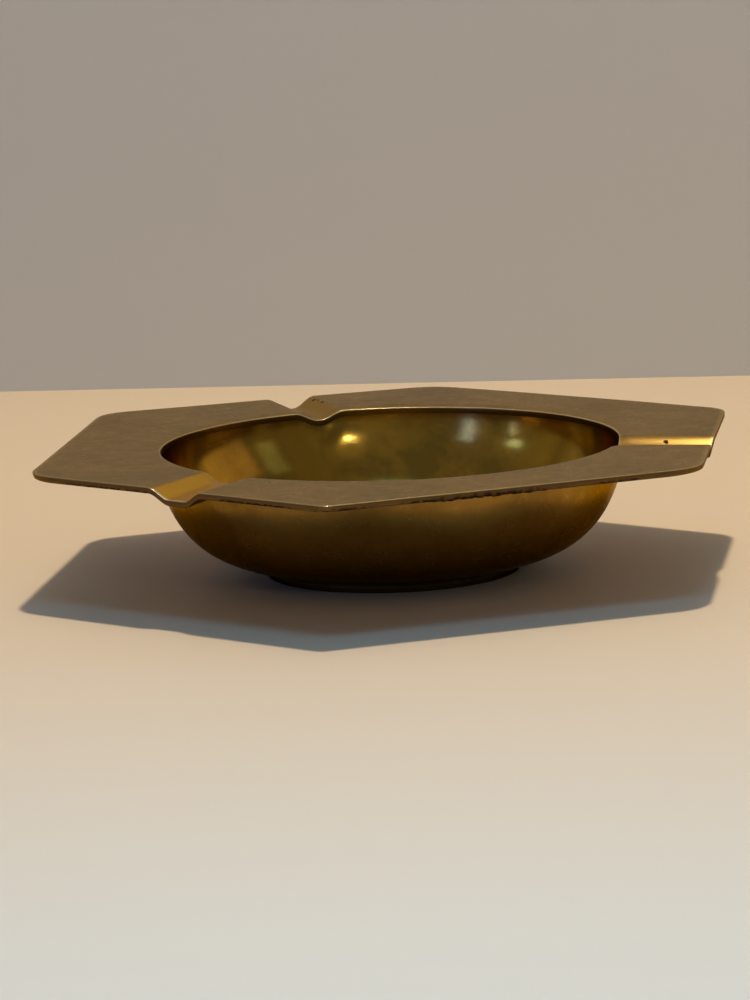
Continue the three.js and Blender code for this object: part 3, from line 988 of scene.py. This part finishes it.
def behind(distance, sideways=0.0, height=0.0):
    """A place so far behind the dish as the camera sees it, so far to its right, and so high."""
    away = Vector((-math.sin(CAMERA_AZIMUTH), math.cos(CAMERA_AZIMUTH), 0))
    right = Vector((math.cos(CAMERA_AZIMUTH), math.sin(CAMERA_AZIMUTH), 0))
    place = Vector((CAMERA_TARGET.x, CAMERA_TARGET.y, height))
    return place + away * distance + right * sideways


def toward(azimuth, elevation, distance):
    """A place in a direction from the dish: 0 degrees is straight behind it, 90 to the right."""
    azimuth, elevation = math.radians(azimuth), math.radians(elevation)
    flat = distance * math.cos(elevation)
    height = HEIGHT + distance * math.sin(elevation)
    return behind(flat * math.cos(azimuth), flat * math.sin(azimuth), height)


# -------------------------------------------------- stage

STAGE_REACH = 3.0                   # half of the floor's width
WALL_HEIGHT = 1.2
WALL_DISTANCE = 291 * MM            # from the dish's middle to the wall behind it
WALL_TURN = math.radians(4.8)       # the wall stands a little further away on the left
FLOOR_COLOUR = (0.70, 0.61, 0.48)
WALL_COLOUR = (0.68, 0.74, 0.80)


def stage_paint(name, colour, roughness):
    """One plain colour."""
    shader = Shader(name)
    shader.surface.inputs["Base Color"].default_value = (*colour, 1)
    shader.surface.inputs["Roughness"].default_value = roughness
    return shader.material


def see_through_back(material):
    """Makes a surface invisible from behind, so that the wall never hides the dish."""
    tree = material.node_tree
    back = tree.nodes.new("ShaderNodeNewGeometry").outputs["Backfacing"]
    clear = tree.nodes.new("ShaderNodeBsdfTransparent")
    either = tree.nodes.new("ShaderNodeMixShader")
    tree.links.new(back, either.inputs["Fac"])
    tree.links.new(tree.nodes["Principled BSDF"].outputs["BSDF"], either.inputs[1])
    tree.links.new(clear.outputs["BSDF"], either.inputs[2])
    tree.links.new(either.outputs["Shader"], tree.nodes["Material Output"].inputs["Surface"])


def make_stage():
    """A floor all round the dish and one wall behind it."""
    reach = STAGE_REACH
    near = [behind(-reach, -reach), behind(-reach, reach)]
    far = [behind(reach, reach), behind(reach, -reach)]
    floor = make_piece("floor", near + far, [(0, 1, 2, 3)])
    floor.data.materials.append(stage_paint("floor_paint", FLOOR_COLOUR, 0.55))
    turned = reach * math.tan(WALL_TURN)
    left, right = behind(WALL_DISTANCE + turned, -reach), behind(WALL_DISTANCE - turned, reach)
    up = Vector((0, 0, WALL_HEIGHT))
    wall = make_piece("wall", [left, right, right + up, left + up], [(0, 1, 2, 3)])
    wall_paint = stage_paint("wall_paint", WALL_COLOUR, 0.8)
    see_through_back(wall_paint)
    wall.data.materials.append(wall_paint)


# -------------------------------------------------- light

ROOM_COLOUR = (1.0, 0.92, 0.76)
ROOM_STRENGTH = 0.14
LAMP_PLACE = behind(160 * MM, 46 * MM, 990 * MM)
LAMP_SIZE = 0.06
LAMP_POWER = 7.6
LAMP_COLOUR = (1.0, 0.79, 0.56)
LAMP_GLINT = 0.18                   # how much of the lamp's light the brass reflects as a highlight

# Soft lights that stand in for the room in the polished metal: name, azimuth and elevation in
# degrees, distance, width, height (none for a round light), power and colour.
ROOM_LIGHTS = [
    ("small_lamp", 157.5, 18, 1.0, 0.05, None, 0.30, (1.0, 0.95, 0.85)),
    ("small_lamp_halo", 157.5, 26, 1.0, 0.30, None, 0.028, (1.0, 0.8, 0.5)),
    ("left_window", -137, 10, 1.0, 0.11, 0.42, 0.46, (0.15, 0.25, 1.0)),
    ("far_left_window", -111.5, 5, 1.0, 0.025, 0.22, 0.09, (0.22, 0.34, 1.0)),
    ("far_left_lamp", -108, 18, 1.0, 0.14, 0.10, 0.11, (0.25, 0.42, 1.0)),
    ("right_panel", 77, 14, 0.45, 0.28, 0.28, 0.072, (1.0, 0.70, 0.50)),
    ("right_window", 110, 22, 1.0, 0.18, 0.46, 0.085, (0.55, 0.75, 1.0)),
]

# A cool light on the floor in front of the dish.
FRONT_DISTANCE = 470 * MM
FRONT_HEIGHT = 900 * MM
FRONT_POWER = 30
FRONT_COLOUR = (0.26, 0.60, 1.0)
FRONT_CONE = math.radians(55)
FRONT_SOFTNESS = 200 * MM           # radius of the light, which softens its shadows


def make_light(name, kind, place, target, power, colour):
    """A light at a place, aimed at another."""
    data = bpy.data.lights.new(name, kind)
    data.energy = power
    data.color = colour
    light = bpy.data.objects.new(name, data)
    light.location = place
    light.rotation_mode = "QUATERNION"
    light.rotation_quaternion = (place - target).to_track_quat("Z", "Y")
    bpy.context.scene.collection.objects.link(light)
    return light


def make_area_light(name, place, width, height, power, colour):
    """A round light aimed at the floor under the dish, or a rectangle aimed at the brim."""
    target = behind(0) if height is None else behind(0, 0, HEIGHT)
    light = make_light(name, "AREA", place, target, power, colour)
    light.data.shape = "DISK" if height is None else "RECTANGLE"
    light.data.size = width
    if height is not None:
        light.data.size_y = height
    return light


def make_room():
    """The dim light that comes from everywhere."""
    world = bpy.data.worlds.new("room")
    world.use_nodes = True
    background = world.node_tree.nodes["Background"]
    background.inputs["Color"].default_value = (*ROOM_COLOUR, 1)
    background.inputs["Strength"].default_value = ROOM_STRENGTH
    bpy.context.scene.world = world


def make_lights():
    """The lamp above, with a highlight dimmer than its light, the room's lights and the front."""
    make_room()
    lamp = make_area_light("lamp", LAMP_PLACE, LAMP_SIZE, None, LAMP_POWER, LAMP_COLOUR)
    lamp.visible_glossy = False
    glint_power = LAMP_POWER * LAMP_GLINT
    glint = make_area_light("lamp_glint", LAMP_PLACE, LAMP_SIZE, None, glint_power, LAMP_COLOUR)
    glint.visible_diffuse = False
    for name, azimuth, elevation, distance, width, height, power, colour in ROOM_LIGHTS:
        make_area_light(name, toward(azimuth, elevation, distance), width, height, power, colour)
    above, below = behind(-FRONT_DISTANCE, 0, FRONT_HEIGHT), behind(-FRONT_DISTANCE)
    front = make_light("front", "SPOT", above, below, FRONT_POWER, FRONT_COLOUR)
    front.data.spot_size = FRONT_CONE
    front.data.spot_blend = 1.0
    front.data.shadow_soft_size = FRONT_SOFTNESS


# -------------------------------------------------- assembly


def dress(piece, material, node):
    """Gives a piece its material and its finish, and puts it in a CAD node's place."""
    piece.data.materials.append(material)
    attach(piece, "root")
    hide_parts(node)


def make_dish():
    """All the pieces. The solder runs from each rest to the next."""
    dress(make_brim(), brim_brass(), "brim")
    dress(make_bowl(), bowl_brass(), "bowl")
    solder_metal = solder()
    for index, rest in enumerate(RESTS):
        start = crossing_angle(rest) + SEAM_SETBACK
        end = crossing_angle(RESTS[(index + 1) % len(RESTS)]) - SEAM_SETBACK
        end += 2 * math.pi if end < start else 0
        seam = make_brim_seam(f"brim_solder_{index + 1}", start, end)
        dress(seam, solder_metal, f"brim_seam_{index + 1}")
    # The foot's brass is darkened as painted shade.
    dress(make_foot_ring(), foot_brass(), "foot_ring")
    dress(make_foot_seam(), solder_metal, "foot_seam")


make_dish()
make_stage()
make_lights()
make_camera()
bpy.context.scene.view_settings.view_transform = "Standard"
